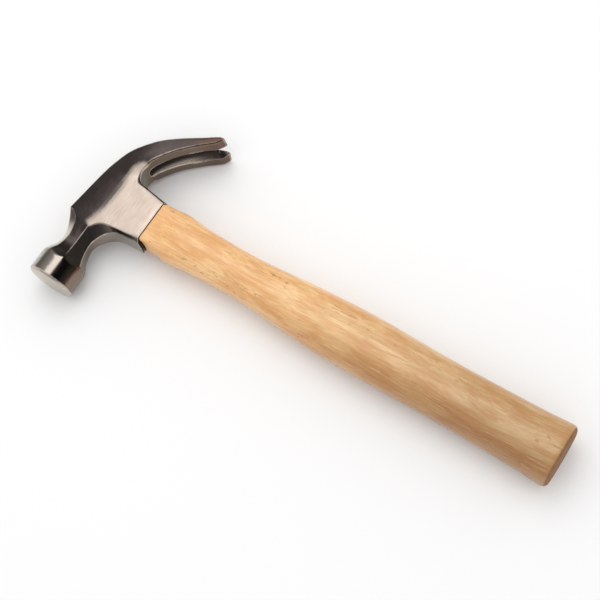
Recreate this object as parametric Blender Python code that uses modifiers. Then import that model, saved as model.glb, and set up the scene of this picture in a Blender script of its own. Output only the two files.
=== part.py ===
"""A wooden-handled claw hammer, lying on its side, as an assembly of separate pieces.

The head is one steel forging: bell, eight-sided neck, eye block with flat cheeks and two curved
claws. The handle's tenon fills the tapered eye, a wooden wedge spreads it along a saw kerf, and
two steel wedges across the first one lock it.

The design is drawn with +X from the head towards the butt, +Y from the bell towards the claws
and +Z out of the upper cheek. X = 0 is the skirt's lower edge and Z = 0 is the middle plane.
place() then moves every piece so that the origin is the bottom centre of the whole hammer.
Metres throughout.
"""

import math

import bmesh
import bpy
import numpy as np
from mathutils import Vector

# Head, driving dimensions
CHEEK_HALF = 0.0095  # half the thickness over the flat cheeks
NECK_HALF = 0.0090  # half the thickness of the eight-sided neck
NECK_FLAT_HALF = 0.0038  # half the width of the neck's poll-side flat
SKIRT_WALL_HALF = 0.0073  # where the skirt's side wall meets its chamfer
CROWN_HALF = 0.0083  # half the thickness at the top of the eye block
CLAW_ROOT_HALF = 0.0105
CLAW_MIDDLE_HALF = 0.0125
CLAW_TIP_HALF = 0.0140
CLAW_EDGE_CHAMFER = 0.0010
CROWN_RISE = 0.0008  # how far the top stands out at the middle plane
SKIRT_WALL_RISE = 0.0005  # how far the poll wall stands out at the middle plane
SKIRT_EAR = 0.0026  # how much further down the skirt's side walls reach than the cheeks

# Bell
BELL_AXIS_X = -0.0339
BELL_RADIUS = 0.0147
BELL_START_Y = -0.0490  # where the flare reaches the full radius
BELL_RIM_Y = -0.0616
BELL_CHAMFER = 0.0010
FACE_CROWN = 0.0010  # how far the striking face stands out at its flat centre
FACE_FLAT_RADIUS = 0.0060
NECK_FLARE_START_Y = -0.0330
NECK_FLARE_RADIUS = 0.0088

# Eye, tapered so that the wedged tenon can't pull out
EYE_CENTRE_Y = -0.0012
EYE_HALF_LENGTH = (0.0118, 0.0128)  # along Y, at the skirt and at the crown
EYE_HALF_WIDTH = (0.0066, 0.0072)  # along Z, at the skirt and at the crown
EYE_ROUNDNESS = 3.2  # exponent of the superellipse
CROWN_AT_EYE_X = -0.0468
CROWN_SLOPE = 0.132  # how the crown's X grows with Y

# Nail slot
SLOT_APEX_HALF = 0.0008
SLOT_TIP_HALF = 0.0043
SLOT_BEVEL_HALF = 0.0055  # half the slot's width at the claws' underside
SLOT_BEVEL_DEPTH = 0.0030
SLOT_ROUND_LENGTH = 0.0090  # over which the bevel opens from the apex
SLOT_OVERSHOOT = 0.0015  # how far the cutter stands out of the claws' underside

# Handle
GAP = 0.0003  # clearance between neighbouring pieces
BUTT_X = 0.2752
BUTT_ROUND = 0.0034

# Wedges
WOODEN_WEDGE_DEPTH = 0.0270
WOODEN_WEDGE_HALF = (0.0017, 0.0005)  # half its thickness at the crown and at the tip
WOODEN_WEDGE_HALF_LENGTH = 0.0120
STEEL_WEDGE_DEPTH = 0.0140
STEEL_WEDGE_HALF = (0.0010, 0.0003)
STEEL_WEDGE_HALF_WIDTH = 0.0050
STEEL_WEDGE_Y = {"steel_wedge_poll": -0.0074, "steel_wedge_claw": 0.0050}
STEEL_WEDGE_TURN = math.radians(20)

RING_SIDES = 40  # points round an oval section
BELL_STEPS = 48

# The whole hammer's extents, which set the origin
TOP_X = -0.0498
FACE_Y = BELL_RIM_Y - BELL_CHAMFER - FACE_CROWN
TIP_Y = 0.0662
ORIGIN = Vector(((TOP_X + BUTT_X) / 2, (FACE_Y + TIP_Y) / 2, -BELL_RADIUS))


def skirt_end(z):
    """X of the skirt's lower edge at this height: the cheeks end at 0 and the side walls lower."""
    return SKIRT_EAR * max(0.0, 1 - (z / CHEEK_HALF) ** 2)


SKIRT_WALL_X = skirt_end(SKIRT_WALL_HALF)

# Outlines of the head's long edges, as (x, y, z), zone by zone from the bell to the claw tips.
# wall: edge of the poll wall, skirt and claw underside; ridge: lower edge of the cheek;
# crest: where the flat cheek starts to roll over; shoulder and top: the two edges of the
# chamfer along the top.
ZONES = (
    {  # neck, from inside the bell to the corners of the eye block
        "stations": 9,
        "wall": ((-0.0248, -0.0520, NECK_FLAT_HALF), (-0.0249, -0.0400, NECK_FLAT_HALF),
                 (-0.0254, -0.0320, NECK_FLAT_HALF), (-0.0249, -0.0288, 0.0042)),
        "ridge": ((-0.0308, -0.0520, NECK_HALF), (-0.0313, -0.0380, NECK_HALF),
                  (-0.0314, -0.0300, NECK_HALF), (-0.0312, -0.0231, CHEEK_HALF)),
        "crest": ((-0.0345, -0.0520, NECK_HALF), (-0.0347, -0.0380, NECK_HALF),
                  (-0.0352, -0.0280, 0.0091), (-0.0372, -0.0205, 0.0093)),
        "shoulder": ((-0.0387, -0.0520, NECK_HALF), (-0.0382, -0.0370, NECK_HALF),
                     (-0.0390, -0.0290, NECK_HALF), (-0.0424, -0.0214, 0.0089),
                     (-0.0488, -0.0179, 0.0085)),
        "top": ((-0.0430, -0.0520, 0.0050), (-0.0421, -0.0380, 0.0050),
                (-0.0434, -0.0305, 0.0050), (-0.0462, -0.0238, 0.0062),
                (-0.0491, -0.0179, CROWN_HALF)),
    },
    {  # poll side of the eye block, down to the skirt
        "stations": 13,
        "wall": ((-0.0249, -0.0288, 0.0042), (-0.0236, -0.0258, 0.0048), (-0.0212, -0.0221, 0.0056),
                 (-0.0178, -0.0191, 0.0064), (-0.0140, -0.0173, 0.0070),
                 (-0.0080, -0.0166, SKIRT_WALL_HALF), (SKIRT_WALL_X, -0.0164, SKIRT_WALL_HALF)),
        "ridge": ((-0.0312, -0.0231, CHEEK_HALF), (-0.0284, -0.0192, CHEEK_HALF),
                  (-0.0243, -0.0166, CHEEK_HALF), (-0.0159, -0.0155, CHEEK_HALF),
                  (-0.0088, -0.0148, CHEEK_HALF), (0.0, -0.0137, CHEEK_HALF)),
        "crest": ((-0.0372, -0.0205, 0.0093), (-0.0335, -0.0150, CHEEK_HALF),
                  (-0.0305, -0.0083, CHEEK_HALF)),
        "shoulder": ((-0.0488, -0.0179, 0.0085), (-0.0477, -0.0097, 0.0085)),
        "top": ((-0.0491, -0.0179, CROWN_HALF), (-0.0480, -0.0097, CROWN_HALF)),
    },
    {  # skirt end
        "stations": 5,
        "wall": ((SKIRT_WALL_X, -0.0164, SKIRT_WALL_HALF), (SKIRT_WALL_X, 0.0136, SKIRT_WALL_HALF)),
        "ridge": ((0.0, -0.0137, CHEEK_HALF), (0.0, 0.0120, CHEEK_HALF)),
        "crest": ((-0.0305, -0.0083, CHEEK_HALF), (-0.0295, -0.0023, CHEEK_HALF),
                  (-0.0288, 0.0050, CHEEK_HALF)),
        "shoulder": ((-0.0477, -0.0097, 0.0085), (-0.0458, 0.0045, 0.0085)),
        "top": ((-0.0480, -0.0097, CROWN_HALF), (-0.0461, 0.0045, CROWN_HALF)),
    },
    {  # claw side of the eye block, up to the root of the claws
        "stations": 13,
        "wall": ((SKIRT_WALL_X, 0.0136, SKIRT_WALL_HALF), (-0.0138, 0.0160, SKIRT_WALL_HALF),
                 (-0.0192, 0.0169, 0.0078), (-0.0218, 0.0184, 0.0083), (-0.0231, 0.0206, 0.0088),
                 (-0.0238, 0.0240, CLAW_ROOT_HALF - CLAW_EDGE_CHAMFER)),
        "ridge": ((0.0, 0.0120, CHEEK_HALF), (-0.0138, 0.0145, CHEEK_HALF),
                  (-0.0204, 0.0154, CHEEK_HALF), (-0.0230, 0.0170, CHEEK_HALF),
                  (-0.0241, 0.0195, 0.0096), (-0.0245, 0.0236, CLAW_ROOT_HALF)),
        "crest": ((-0.0288, 0.0050, CHEEK_HALF), (-0.0290, 0.0110, CHEEK_HALF),
                  (-0.0306, 0.0180, 0.0098)),
        "shoulder": ((-0.0458, 0.0045, 0.0085), (-0.0444, 0.0138, 0.0086),
                     (-0.0424, 0.0204, 0.0093)),
        "top": ((-0.0461, 0.0045, CROWN_HALF), (-0.0447, 0.0138, 0.0083), (-0.0428, 0.0205, 0.0088)),
    },
    {  # claws, root to tip
        "stations": 19,
        "wall": ((-0.0238, 0.0240, CLAW_ROOT_HALF - CLAW_EDGE_CHAMFER),
                 (-0.0219, 0.0309, 0.0112), (-0.0183, 0.0367, CLAW_MIDDLE_HALF - CLAW_EDGE_CHAMFER),
                 (-0.0143, 0.0419, 0.0117), (-0.0099, 0.0465, 0.0120), (-0.0050, 0.0508, 0.0123),
                 (-0.0002, 0.0549, 0.0126), (0.0046, 0.0586, 0.0128), (0.0069, 0.0606, 0.0130),
                 (0.0087, 0.0645, CLAW_TIP_HALF - CLAW_EDGE_CHAMFER)),
        "ridge": ((-0.0245, 0.0236, CLAW_ROOT_HALF), (-0.0227, 0.0310, 0.0122),
                  (-0.0190, 0.0368, CLAW_MIDDLE_HALF), (-0.0150, 0.0421, 0.0127),
                  (-0.0106, 0.0468, 0.0130), (-0.0057, 0.0512, 0.0133), (-0.0009, 0.0553, 0.0136),
                  (0.0040, 0.0591, 0.0138), (0.0064, 0.0611, 0.0139),
                  (0.0084, 0.0646, CLAW_TIP_HALF)),
        "crest": ((-0.0306, 0.0180, 0.0098), (-0.0298, 0.0290, 0.0118), (-0.0245, 0.0378, 0.0125),
                  (-0.0163, 0.0463, 0.0130), (-0.0060, 0.0540, 0.0136), (0.0034, 0.0609, 0.0139),
                  (0.0083, 0.0649, CLAW_TIP_HALF)),
        "shoulder": ((-0.0424, 0.0204, 0.0093), (-0.0387, 0.0284, 0.0110), (-0.0340, 0.0353, 0.0119),
                     (-0.0254, 0.0446, 0.0127), (-0.0147, 0.0522, 0.0132), (-0.0038, 0.0585, 0.0136),
                     (0.0055, 0.0642, 0.0139), (0.0086, 0.0652, CLAW_TIP_HALF)),
        "top": ((-0.0428, 0.0205, 0.0088), (-0.0391, 0.0287, 0.0104), (-0.0344, 0.0357, 0.0113),
                (-0.0257, 0.0450, 0.0121), (-0.0150, 0.0527, 0.0126), (-0.0041, 0.0590, 0.0130),
                (0.0053, 0.0646, 0.0133), (0.0088, 0.0655, 0.0134)),
    },
)
RAILS = ("wall", "ridge", "crest", "shoulder", "top")
EAR_LENGTH = 0.0120  # the stretch of side wall over which an ear fades out
TIP_REACH = Vector((0.0009, 0.0009, 0.0))  # the tines' inner corners stand this far past the outer

# Handle sections, as (x, centre y, half the height along Y, half the thickness along Z, roundness).
# Behind the head the section is boxy like the skirt, and further back it is an oval.
HANDLE_SECTIONS = (
    (0.0003, 0.0002, 0.0142, 0.0092, 4.0), (0.0045, 0.0002, 0.0148, 0.0096, 3.6),
    (0.0100, 0.0002, 0.0152, 0.0101, 3.2), (0.0150, -0.0001, 0.0157, 0.0105, 2.9),
    (0.0200, -0.0003, 0.0156, 0.0108, 2.7), (0.0260, -0.0004, 0.0151, 0.0109, 2.5),
    (0.0350, -0.0003, 0.0143, 0.0109, 2.35), (0.0550, -0.0003, 0.01375, 0.0109, 2.25),
    (0.0700, -0.0003, 0.01385, 0.0111, 2.25), (0.0860, -0.0003, 0.0147, 0.0116, 2.25),
    (0.1050, -0.0003, 0.0163, 0.0124, 2.25), (0.1250, -0.0004, 0.0174, 0.0130, 2.25),
    (0.1500, -0.0003, 0.01795, 0.0134, 2.25), (0.1800, -0.0005, 0.01755, 0.0133, 2.25),
    (0.2050, -0.0005, 0.0173, 0.0132, 2.25), (0.2350, -0.0004, 0.0176, 0.0135, 2.25),
    (0.2550, -0.0004, 0.01795, 0.0139, 2.3), (0.2718, -0.0004, 0.0188, 0.0145, 2.35),
)
EAR_FADE = 0.0100  # the stretch of handle over which its shoulder's curve fades out

HAMMER = "claw_hammer"


def clear_scene():
    for obj in list(bpy.data.objects):
        bpy.data.objects.remove(obj, do_unlink=True)


def make_collection(name):
    collection = bpy.data.collections.new(name)
    bpy.context.scene.collection.children.link(collection)
    return collection


def make_material(name, colour, metallic, roughness):
    material = bpy.data.materials.new(name)
    material.use_nodes = True
    shader = material.node_tree.nodes["Principled BSDF"]
    shader.inputs["Base Color"].default_value = (*colour, 1.0)
    shader.inputs["Metallic"].default_value = metallic
    shader.inputs["Roughness"].default_value = roughness
    return material


def spaced_through(points, count):
    """Rows evenly spaced by their first columns on the Catmull-Rom curve through these rows."""
    points = np.array(points, float)
    if len(points) == 2:
        return np.linspace(points[0], points[1], count)
    padded = np.vstack([2 * points[0] - points[1], points, 2 * points[-1] - points[-2]])
    fine = []
    for a, b, c, d in zip(padded, padded[1:], padded[2:], padded[3:]):
        for t in np.linspace(0, 1, 16, endpoint=False):
            fine.append(0.5 * (2 * b + (c - a) * t + (2 * a - 5 * b + 4 * c - d) * t**2
                               + (3 * b - a - 3 * c + d) * t**3))
    fine = np.array([*fine, points[-1]])
    steps = np.linalg.norm(np.diff(fine[:, :3], axis=0), axis=1)
    along = np.concatenate([[0], np.cumsum(steps)])
    wanted = np.linspace(0, along[-1], count)
    return np.column_stack([np.interp(wanted, along, column) for column in fine.T])


def curve_through(points, count):
    return [Vector(row) for row in spaced_through(points, count)]


def loft(name, rings, collection):
    """A closed solid through rings that have the same number of points, capped at both ends."""
    mesh = bmesh.new()
    rows = [[mesh.verts.new(point) for point in ring] for ring in rings]
    for low, high in zip(rows, rows[1:]):
        for i in range(len(low)):
            j = (i + 1) % len(low)
            mesh.faces.new((low[i], low[j], high[j], high[i]))
    mesh.faces.new(reversed(rows[0]))
    mesh.faces.new(rows[-1])
    bmesh.ops.triangulate(mesh, faces=[f for f in mesh.faces if len(f.verts) > 4])
    bmesh.ops.recalc_face_normals(mesh, faces=mesh.faces)
    data = bpy.data.meshes.new(name)
    mesh.to_mesh(data)
    mesh.free()
    obj = bpy.data.objects.new(name, data)
    collection.objects.link(obj)
    return obj


def helper(obj):
    obj.hide_render = True
    obj.display_type = "WIRE"
    return obj


def boolean(obj, other, operation):
    modifier = obj.modifiers.new(f"{operation.lower()} {other.name}", "BOOLEAN")
    modifier.operation = operation
    modifier.solver = "EXACT"
    modifier.object = other


def finish(obj, material, sharp_degrees):
    obj.data.materials.append(material)
    obj.data.shade_smooth()
    obj.data.set_sharp_from_angle(angle=math.radians(sharp_degrees))


def place(obj):
    obj.location = obj.location - ORIGIN


def head_stations():
    """One dictionary of rail points for each station from the bell to the claw tips."""
    stations = []
    for index, zone in enumerate(ZONES):
        rails = {rail: curve_through(zone[rail], zone["stations"]) for rail in RAILS}
        for i in range(1 if index else 0, zone["stations"]):
            stations.append({rail: rails[rail][i] for rail in RAILS} | {"zone": index})
    return stations


def head_ring(station, last):
    """The closed section of one station: middle plane, upper side, middle plane, lower side."""
    wall, ridge, crest, shoulder, top = (station[rail] for rail in RAILS)
    roll = (crest + shoulder) / 2
    roll.z = crest.z * 0.75 + shoulder.z * 0.25
    foot = Vector((wall.x, wall.y, 0.0))
    if station["zone"] == 1:
        foot.y -= SKIRT_WALL_RISE
    if station["zone"] in (1, 2, 3):
        foot.x += (SKIRT_EAR - SKIRT_WALL_X) * max(0.0, 1 - (SKIRT_WALL_X - wall.x) / EAR_LENGTH)
    outward = (top - wall).normalized()
    crown = Vector((top.x, top.y, 0.0)) + Vector((outward.x, outward.y, 0.0)) * CROWN_RISE
    if last:
        foot += TIP_REACH
        crown = Vector((top.x, top.y, 0.0)) + TIP_REACH
    upper = [wall, ridge, crest, roll, shoulder, top]
    lower = [Vector((p.x, p.y, -p.z)) for p in reversed(upper)]
    return [foot, *upper, crown, *lower]


def slot_cutter(stations, collection):
    """The nail slot: a rounded V through the claws with a broad bevel on their underside."""
    claws = [s for s in stations if s["zone"] == 4][1:]
    feet = [Vector((s["wall"].x, s["wall"].y, 0.0)) for s in claws]
    tops = [Vector((s["top"].x, s["top"].y, 0.0)) for s in claws]
    ahead = (feet[-1] - feet[-2]).normalized()
    feet.append(feet[-1] + ahead * 0.004)
    tops.append(tops[-1] + ahead * 0.004)
    length = sum((b - a).length for a, b in zip(feet, feet[1:]))
    rings = []
    done = 0.0
    for i, (foot, top) in enumerate(zip(feet, tops)):
        done += (foot - feet[i - 1]).length if i else 0.0
        share = done / length
        along = (feet[min(i + 1, len(feet) - 1)] - feet[max(i - 1, 0)]).normalized()
        across = Vector((-along.y, along.x, 0.0))
        through = SLOT_APEX_HALF + 0.0012 * share + (SLOT_TIP_HALF - SLOT_APEX_HALF - 0.0012) * share**4
        opening = min(1.0, done / SLOT_ROUND_LENGTH)
        bevel = max(through + 0.0003, SLOT_BEVEL_HALF * math.sqrt(1 - (1 - opening) ** 2))
        depth = SLOT_BEVEL_DEPTH * max(0.45, 1 - share**3)
        outer = through + (bevel - through) * (depth + SLOT_OVERSHOOT) / depth
        half = [(-SLOT_OVERSHOOT, outer), (depth, through), ((top - foot).length + 0.004, through)]
        ring = [foot + across * away + Vector((0, 0, side)) for away, side in half]
        rings.append(ring + [Vector((p.x, p.y, -p.z)) for p in reversed(ring)])
    return helper(loft("nail_slot_cutter", rings, collection))


def oval(x, centre_y, half_y, half_z, roundness, slope=0.0, ear=0.0):
    """A superellipse section across X. slope leans it along the crown; ear bends it to the skirt."""
    ring = []
    for i in range(RING_SIDES):
        angle = 2 * math.pi * i / RING_SIDES
        c, s = math.cos(angle), math.sin(angle)
        y = half_y * math.copysign(abs(c) ** (2 / roundness), c)
        z = half_z * math.copysign(abs(s) ** (2 / roundness), s)
        ring.append(Vector((x + slope * (centre_y + y) + ear * skirt_end(z), centre_y + y, z)))
    return ring


def eye_half_sizes(x):
    """Half the eye's length and width at this distance up the eye."""
    share = x / CROWN_AT_EYE_X
    return tuple(skirt + (crown - skirt) * share for skirt, crown in (EYE_HALF_LENGTH, EYE_HALF_WIDTH))


def eye_cutter(collection):
    rings = []
    for x in (0.004, CROWN_AT_EYE_X - 0.008):
        half_y, half_z = eye_half_sizes(x)
        rings.append(oval(x, EYE_CENTRE_Y, half_y, half_z, EYE_ROUNDNESS))
    return helper(loft("eye_cutter", rings, collection))


def bell_profile():
    """(radius, y) from the neck's flare to the centre of the striking face."""
    rise = BELL_RADIUS - NECK_FLARE_RADIUS
    run = NECK_FLARE_START_Y - BELL_START_Y
    profile = [(0.0, NECK_FLARE_START_Y)]
    for i in range(9):
        t = i / 8
        ease = 0.82 * t**2.3 + 0.18 * math.sin(math.pi * t / 2) ** 2
        profile.append((NECK_FLARE_RADIUS + rise * ease, NECK_FLARE_START_Y - run * t))
    profile.append((BELL_RADIUS, BELL_RIM_Y))
    profile.append((BELL_RADIUS - BELL_CHAMFER, BELL_RIM_Y - BELL_CHAMFER))
    profile.append(((BELL_RADIUS - BELL_CHAMFER + FACE_FLAT_RADIUS) / 2, FACE_Y + FACE_CROWN * 0.4))
    profile.append((FACE_FLAT_RADIUS, FACE_Y))
    profile.append((0.0, FACE_Y))
    return profile


def bell(collection):
    """The turned bell, joined to the neck by a union."""
    profile = bell_profile()
    mesh = bmesh.new()
    verts = [mesh.verts.new((radius, 0.0, y)) for radius, y in profile]
    for a, b in zip(verts, verts[1:]):
        mesh.edges.new((a, b))
    data = bpy.data.meshes.new("bell")
    mesh.to_mesh(data)
    mesh.free()
    obj = bpy.data.objects.new("bell", data)
    obj.rotation_euler = (math.radians(-90), 0.0, 0.0)
    obj.location = (BELL_AXIS_X, 0.0, 0.0)
    collection.objects.link(obj)
    screw = obj.modifiers.new("turned", "SCREW")
    screw.steps = BELL_STEPS
    screw.render_steps = BELL_STEPS
    screw.use_merge_vertices = True
    screw.merge_threshold = 0.00001
    return helper(obj)


def make_head(parts, cutters, material):
    stations = head_stations()
    rings = [head_ring(s, s is stations[-1]) for s in stations]
    head = loft("head", rings, parts)
    boolean(head, bell(cutters), "UNION")
    boolean(head, eye_cutter(cutters), "DIFFERENCE")
    boolean(head, slot_cutter(stations, cutters), "DIFFERENCE")
    finish(head, material, 22)


def tenon_rings():
    rings = []
    for x in (CROWN_AT_EYE_X, -0.030, -0.015, 0.0):
        half_y, half_z = eye_half_sizes(x)
        slope = CROWN_SLOPE if x == CROWN_AT_EYE_X else 0.0
        rings.append(oval(x, EYE_CENTRE_Y, half_y - GAP, half_z - GAP, EYE_ROUNDNESS, slope))
    half_y, half_z = eye_half_sizes(0.0)
    rings.append(oval(GAP, EYE_CENTRE_Y, half_y - GAP, half_z - GAP, EYE_ROUNDNESS, ear=1.0))
    return rings


def handle_rings():
    rings = [
        oval(*section, ear=max(0.0, 1 - (section[0] - GAP) / EAR_FADE))
        for section in spaced_through(HANDLE_SECTIONS, 36)
    ]
    _, centre_y, half_y, half_z, roundness = HANDLE_SECTIONS[-1]
    for degrees in (30, 60, 90):
        angle = math.radians(degrees)
        x = BUTT_X - BUTT_ROUND * (1 - math.sin(angle))
        inset = BUTT_ROUND * (1 - math.cos(angle))
        rings.append(oval(x, centre_y, half_y - inset, half_z - inset, roundness))
    return rings


def wedge(name, centre_y, half_length, halves, depth, turn, extra, collection):
    """A wedge that points down the eye from the crown, grown by extra on its flat sides."""
    rings = []
    for x, half in ((CROWN_AT_EYE_X, halves[0]), (CROWN_AT_EYE_X + depth, halves[1])):
        ring = []
        for along, side in ((-1, -1), (1, -1), (1, 1), (-1, 1)):
            y = along * (half_length + extra)
            z = side * (half + extra)
            turned_y = y * math.cos(turn) - z * math.sin(turn) + centre_y
            turned_z = y * math.sin(turn) + z * math.cos(turn)
            end = CROWN_SLOPE * turned_y if x == CROWN_AT_EYE_X else 0.0
            if extra:
                end += -0.004 if x == CROWN_AT_EYE_X else extra
            ring.append(Vector((x + end, turned_y, turned_z)))
        rings.append(ring)
    return loft(name, rings, collection)


def make_handle_and_wedges(parts, cutters, wood, wedge_wood, steel):
    handle = loft("handle", tenon_rings() + handle_rings(), parts)
    wooden = dict(centre_y=EYE_CENTRE_Y, halves=WOODEN_WEDGE_HALF, depth=WOODEN_WEDGE_DEPTH, turn=0.0)
    kerf = wedge("kerf_cutter", half_length=0.02, extra=GAP, collection=cutters, **wooden)
    boolean(handle, helper(kerf), "DIFFERENCE")
    spreader = wedge("wooden_wedge", half_length=WOODEN_WEDGE_HALF_LENGTH, extra=0.0,
                     collection=parts, **wooden)
    for name, centre_y in STEEL_WEDGE_Y.items():
        shape = dict(centre_y=centre_y, half_length=STEEL_WEDGE_HALF_WIDTH, halves=STEEL_WEDGE_HALF,
                     depth=STEEL_WEDGE_DEPTH, turn=math.radians(90) - STEEL_WEDGE_TURN)
        cutter = helper(wedge(f"{name}_cutter", extra=GAP, collection=cutters, **shape))
        boolean(handle, cutter, "DIFFERENCE")
        boolean(spreader, cutter, "DIFFERENCE")
        finish(wedge(name, extra=0.0, collection=parts, **shape), steel, 30)
    finish(handle, wood, 30)
    finish(spreader, wedge_wood, 30)


def main():
    clear_scene()
    parts = make_collection(HAMMER)
    cutters = make_collection("cutters")
    cutters.hide_render = True
    make_head(parts, cutters, make_material("forged_steel", (0.42, 0.39, 0.38), 1.0, 0.32))
    make_handle_and_wedges(
        parts,
        cutters,
        make_material("handle_wood", (0.80, 0.56, 0.31), 0.0, 0.38),
        make_material("wedge_wood", (0.56, 0.33, 0.16), 0.0, 0.55),
        make_material("wedge_steel", (0.30, 0.29, 0.28), 1.0, 0.5),
    )
    for obj in (*parts.objects, *cutters.objects):
        place(obj)


main()
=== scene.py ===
"""The looks of the claw hammer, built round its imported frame.

The head, the handle and the three wedges are modelled again here at full detail: rounded edges,
a forged neck that flares into the bell, a bevelled nail slot and a tapered wedged eye. Shapes are
drawn in the design frame: +X from the head towards the butt, +Y from the bell towards the claws,
+Z out of the upper cheek, X = 0 at the skirt's lower edge and Z = 0 in the middle plane. Metres.
"""

import functools
import math

import bmesh
import bpy
import numpy as np
from mathutils import Matrix, Vector


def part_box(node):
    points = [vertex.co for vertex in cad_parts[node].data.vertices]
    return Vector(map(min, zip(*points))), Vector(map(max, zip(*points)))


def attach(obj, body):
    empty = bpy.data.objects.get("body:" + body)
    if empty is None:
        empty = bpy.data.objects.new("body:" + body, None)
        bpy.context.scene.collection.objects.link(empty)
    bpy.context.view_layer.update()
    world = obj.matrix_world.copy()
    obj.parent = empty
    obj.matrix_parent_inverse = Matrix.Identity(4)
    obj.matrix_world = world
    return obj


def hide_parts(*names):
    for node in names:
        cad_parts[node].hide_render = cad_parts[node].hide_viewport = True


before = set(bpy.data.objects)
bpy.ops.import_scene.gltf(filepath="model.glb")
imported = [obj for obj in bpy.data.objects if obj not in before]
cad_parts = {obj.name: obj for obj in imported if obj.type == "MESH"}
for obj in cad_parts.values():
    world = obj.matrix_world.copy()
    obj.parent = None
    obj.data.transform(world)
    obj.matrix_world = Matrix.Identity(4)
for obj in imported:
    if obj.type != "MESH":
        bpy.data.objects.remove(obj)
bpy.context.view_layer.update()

HEAD_LOW, HEAD_HIGH = (Vector(corner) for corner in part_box("head"))
HANDLE_END_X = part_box("handle")[1][0]

# Driving dimensions of the head
CHEEK_HALF = 0.0095  # half the thickness over the flat cheeks
NECK_HALF = 0.0090
NECK_FLAT_HALF = 0.0038
SKIRT_WALL_HALF = 0.0073  # where the skirt's side wall meets its chamfer
CROWN_HALF = 0.0083
CLAW_ROOT_HALF = 0.0105
CLAW_MIDDLE_HALF = 0.0125
CLAW_TIP_HALF = 0.0140
CLAW_EDGE_CHAMFER = 0.0010
CROWN_RISE = 0.0008  # how far the top stands out at the middle plane
SKIRT_WALL_RISE = 0.0005
SKIRT_EAR = 0.0026  # how much further down the skirt's side walls reach than the cheeks
EAR_LENGTH = 0.0120
BELL_AXIS_X = -0.0339
BELL_RADIUS = 0.0147
BELL_RIM_Y = -0.0616
BELL_CHAMFER = 0.0010
FACE_CROWN = 0.0010
FACE_Y = BELL_RIM_Y - BELL_CHAMFER - FACE_CROWN
FACE_SHARES = (0.02, 0.15, 0.3, 0.45, 0.6, 0.75, 0.88, 0.96, 0.985)  # the face's rings
FACE_EDGE_INSET = 0.00008  # the eased edge between the face and its chamfer
FACE_EDGE_EASE = 0.0002
RIM_ROUND = 0.0003
BELL_SIDE_START = 0.0008  # first plain ring of the bell's side, from the rim
BELL_SIDE_RINGS = 16
TIP_REACH = 0.0009  # the tines' inner corners stand this far past the outer ones
EYE_CENTRE_Y = -0.0012
EYE_HALF_LENGTH = (0.0118, 0.0128)  # along Y, at the skirt and at the crown
EYE_HALF_WIDTH = (0.0066, 0.0072)  # along Z, at the skirt and at the crown
EYE_ROUNDNESS = 3.2
CROWN_AT_EYE_X = -0.0468
CROWN_SLOPE = 0.132
BUTT_X = 0.2752
BUTT_ROUND = 0.0034
GAP = 0.0003  # clearance between the head, the tenon and the wedges
OVERSHOOT = 0.0040  # how far a cutter stands out of what it cuts
EYE_SIDES = 96

ORIGIN = Vector((BUTT_X - HANDLE_END_X, FACE_Y - HEAD_LOW[1], -BELL_RADIUS - HEAD_LOW[2]))

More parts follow.
